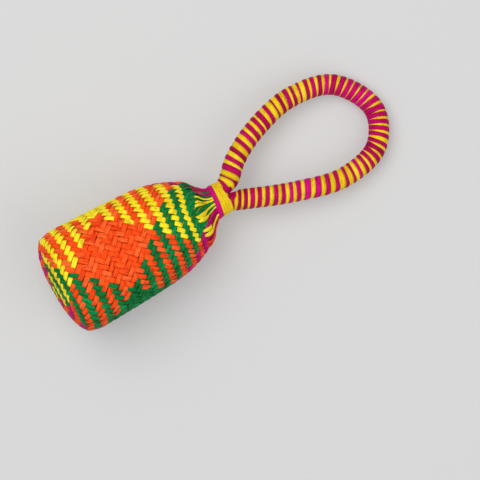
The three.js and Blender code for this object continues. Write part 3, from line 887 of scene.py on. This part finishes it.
def magenta_edges(turns):
    """Where the magenta strip's two edges are in a turn, counted in pitches along the loop."""
    crest = turns - WRAP_CREST
    middle = crest * even_turns / WRAP_TURNS + np.interp(crest, *zip(*AHEAD)) + wander(crest, *MIDDLE_WAVES)
    share = MAGENTA_SHARE + wander(crest, *WIDTH_WAVES)
    share = share + sum(size * np.exp(-((crest - spot) / reach) ** 2) for spot, reach, size in WIDER)
    bend = np.interp(WRAP_START + wrap_pitch * middle, loop_lengths, loop_bends)
    squeeze = bend * CORE_RADIUS * np.cos(TAU * turns)
    share = share / (1 - 2 * np.clip(squeeze, 0, MOST_SQUEEZE))
    return middle - share / 2, middle + share / 2


def wrap_strip(name, colour_name, first, last):
    """A length of strip wound round the loop, from one turn to another. The yellow one fills what the magenta
    one leaves and tucks under its edges."""
    def shape(share, side):
        turns = mix(first, last, share)
        if colour_name == "magenta":
            low, high = magenta_edges(turns)
            height = WRAP_HEIGHT - MAGENTA_CROWN * np.abs(side) ** MAGENTA_CROWN_POWER
        else:
            tuck = WRAP_TUCK / wrap_pitch
            low, high = magenta_edges(turns)[1] - tuck, magenta_edges(turns + 1)[0] + tuck
            high = np.maximum(high, low + 2 * tuck)
            height = WRAP_HEIGHT - YELLOW_SINK - YELLOW_CROWN * side ** 2
        hidden_end, edge = WRAP_START - WRAP_HIDDEN, WRAP_END_HALF_WIDTH * side
        length = WRAP_START + wrap_pitch * mix(low, high, (side + 1) / 2)
        length = np.clip(length, hidden_end + edge, loop_length - hidden_end + edge)
        outer = (1 - np.cos(TAU * turns)) / 2
        taper = smoothstep((above_neck(length) + WRAP_EARLY * outer) / WRAP_TAPER)
        places = beside_loop(length, TAU * turns, mix(LEG_RADIUS, CORE_RADIUS, taper) + height)
        grain_middle = (np.floor(turns + WRAP_CREST) + 0.5) * GRAIN_STEP
        across = grain_middle + side * (high - low) * wrap_pitch / 2
        return places, np.stack((across, turns * TAU * WRAP_GRAIN_RADIUS), 1)

    rows = math.ceil((last - first) * WRAP_STEPS)
    return thickened(ribbon(name, rows, WRAP_COLUMNS, shape), WRAP_THICKNESS)


count = np.linspace(0, LAST_TURN, WRAP_SAMPLES)
reached = np.mean(magenta_edges(count), axis=0)
for part in range(WRAP_LENGTHS):
    first, last = (np.interp(even_turns * edge / WRAP_LENGTHS, reached, count) for edge in (part, part + 1))
    for colour_name in ("magenta", "yellow"):
        node = f"wrap_{colour_name}_{part + 1}"
        begin = YELLOW_BEGIN if part == 0 and colour_name == "yellow" else first
        strip = wrap_strip(f"{colour_name}_wrapping_{part + 1}", colour_name, begin, last)
        placed(strip, wrap_palm[colour_name], "palm_" + colour_name, "rattle", node)


# Neck bindings

def neck_binding(name, begin, pitch, fan, skew, width, first, turns, height, climb=0, end_lift=0):
    """Plies of strip wound round the gathered strips, closer together on one side by a fan share. Turns count
    from the right side, over the top. The first bit may stand off as a cut end."""
    def shape(share, side):
        turn = share * turns
        angle = TAU * (turn + first)
        spread = 1 + fan * np.cos(angle)
        x = begin + (pitch * turn + side * width / 2) * spread - skew * np.cos(angle)
        x += BINDING_WAVE * np.sin(TAU * turn * BINDING_WAVE_RATE + 1)
        crown = BINDING_CROWN * np.abs(side) ** BINDING_CROWN_POWER
        lift = end_lift * (1 - smoothstep(turn / BINDING_END))
        top = height - crown - BINDING_TILT * side + climb * turn + lift
        radius = neck_radius(x)
        out, up = radius + top, radius * neck_flattening(x) + top
        places = np.stack((x, -out * np.cos(angle), up * np.sin(angle)), 1)
        return places, np.stack((NECK_GRAIN + side * STRIP_WIDTH / 2, turn * BINDING_GIRTH), 1)

    rows = math.ceil(turns * BINDING_STEPS)
    return thickened(ribbon(name, rows, BINDING_COLUMNS, shape), BINDING_THICKNESS)


magenta_binding = neck_binding("magenta_neck_binding", begin=125.3, pitch=0.9, fan=0.2, skew=1.3, width=2.7,
                               first=0.01, turns=1.75, height=1.05, climb=0.15, end_lift=0.3)
yellow_binding = neck_binding("yellow_neck_binding", begin=127.6, pitch=1.56, fan=0.3, skew=0.9, width=1.85,
                              first=0.53, turns=3.95, height=1.4)
placed(magenta_binding, strand_palm["magenta"], "palm_magenta", "rattle", "neck_binding_magenta")
placed(yellow_binding, wrap_palm["yellow"], "palm_yellow", "rattle", "neck_binding_yellow")


def neck_fill():
    """The cut strip ends that close the neck between the legs."""
    radius, flattening = neck_radius(FILL_X), neck_flattening(FILL_X)

    def shape(share, side):
        angle, reach = math.pi * side, 1 - share
        x = FILL_X + FILL_RISE * (1 - reach ** 2) + FILL_RIDGE * reach * np.cos(FILL_ENDS * angle)
        out, up = radius * reach, radius * flattening * reach
        places = np.stack((x, -out * np.cos(angle), up * np.sin(angle)), 1)
        return places, np.stack((NECK_GRAIN + side * FILL_GRAIN[0], share * FILL_GRAIN[1]), 1)

    piece = ribbon("neck_fill", FILL_ROWS, FILL_COLUMNS, shape)
    merge_seam()
    bpy.ops.object.mode_set(mode="OBJECT")
    return thickened(piece, FILL_THICKNESS)


placed(neck_fill(), strand_palm["yellow"], "palm_yellow", "rattle")


# Seeds

def seed(node, skin, number):
    """A loose seed: a blunt and a pointed end, with a shallow groove along the under side."""
    low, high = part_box(node)
    centre = (low + high) / 2
    bpy.ops.object.select_all(action="DESELECT")
    bpy.ops.mesh.primitive_uv_sphere_add(segments=32, ring_count=18, radius=1)
    piece = bpy.context.object
    piece.name = piece.data.name = f"loose_seed_{number:02d}"
    mesh = piece.data
    ball = np.empty(len(mesh.vertices) * 3)
    mesh.vertices.foreach_get("co", ball)
    x, y, z = ball.reshape(-1, 3).T
    end, across, up = z * SEED_HALF[0], x * SEED_HALF[1], y * SEED_HALF[2]
    taper = 1 - SEED_TAPER[0] * z - SEED_TAPER[1] * z ** 2
    groove = SEED_GROOVE * np.exp(-(across / SEED_GROOVE_WIDTH) ** 2) * np.where(up < 0, 1, 0) * (1 - z ** 2)
    across, up = across * taper, up * taper + groove
    turn, keep = math.sin(number * GOLDEN_TURN), math.cos(number * GOLDEN_TURN)
    end, across = (end * keep - across * turn) * SEED_FIT, (end * turn + across * keep) * SEED_FIT
    places = tilted(end, across, up) * MM + np.array(centre)
    mesh.vertices.foreach_set("co", places.ravel())
    mesh.update()
    bpy.ops.object.mode_set(mode="EDIT")
    face_outwards()
    bpy.ops.object.shade_smooth()
    placed(piece, skin, "seed_skin", node, node)


seed_coat = seed_skin()
for number, node in enumerate(sorted(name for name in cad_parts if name.startswith("seed_")), 1):
    seed(node, seed_coat, number)


# Floor, light and camera

bpy.ops.object.select_all(action="DESELECT")
bpy.ops.mesh.primitive_plane_add(size=6, location=(0, 0, 0))
floor = bpy.context.object
floor.name = "floor"
floor.data.materials.append(studio_floor())


def soft_light(name, place, size, power):
    """A round lamp that faces the rattle."""
    bpy.ops.object.light_add(type="AREA", location=place)
    light = bpy.context.object
    light.name = name
    light.data.shape, light.data.size, light.data.energy = "DISK", size, power
    light.rotation_euler = (-Vector(place)).to_track_quat("-Z", "Y").to_euler()


soft_light("key_light", place=(-0.35, 0.6, 1.65), size=1.6, power=22)
soft_light("fill_light", place=(0.6, -0.9, 1.3), size=1.6, power=8.5)

world = bpy.context.scene.world or bpy.data.worlds.new("studio")
bpy.context.scene.world = world
world.use_nodes = True
background = world.node_tree.nodes["Background"]
background.inputs["Color"].default_value = (1, 1, 1, 1)
background.inputs["Strength"].default_value = SKY_STRENGTH

eye = (PHOTO_CENTRE[0] * MM, PHOTO_CENTRE[1] * MM, (EYE_HEIGHT + MIDDLE_HEIGHT) * MM)
bpy.ops.object.camera_add(location=eye, rotation=(0, 0, PHOTO_TURN))
camera = bpy.context.object
camera.data.sensor_width = SENSOR
camera.data.lens = SENSOR * EYE_HEIGHT / (PHOTO_SIZE * PHOTO_MM_PER_PIXEL)
bpy.context.scene.camera = camera
bpy.context.scene.view_settings.view_transform = "Standard"
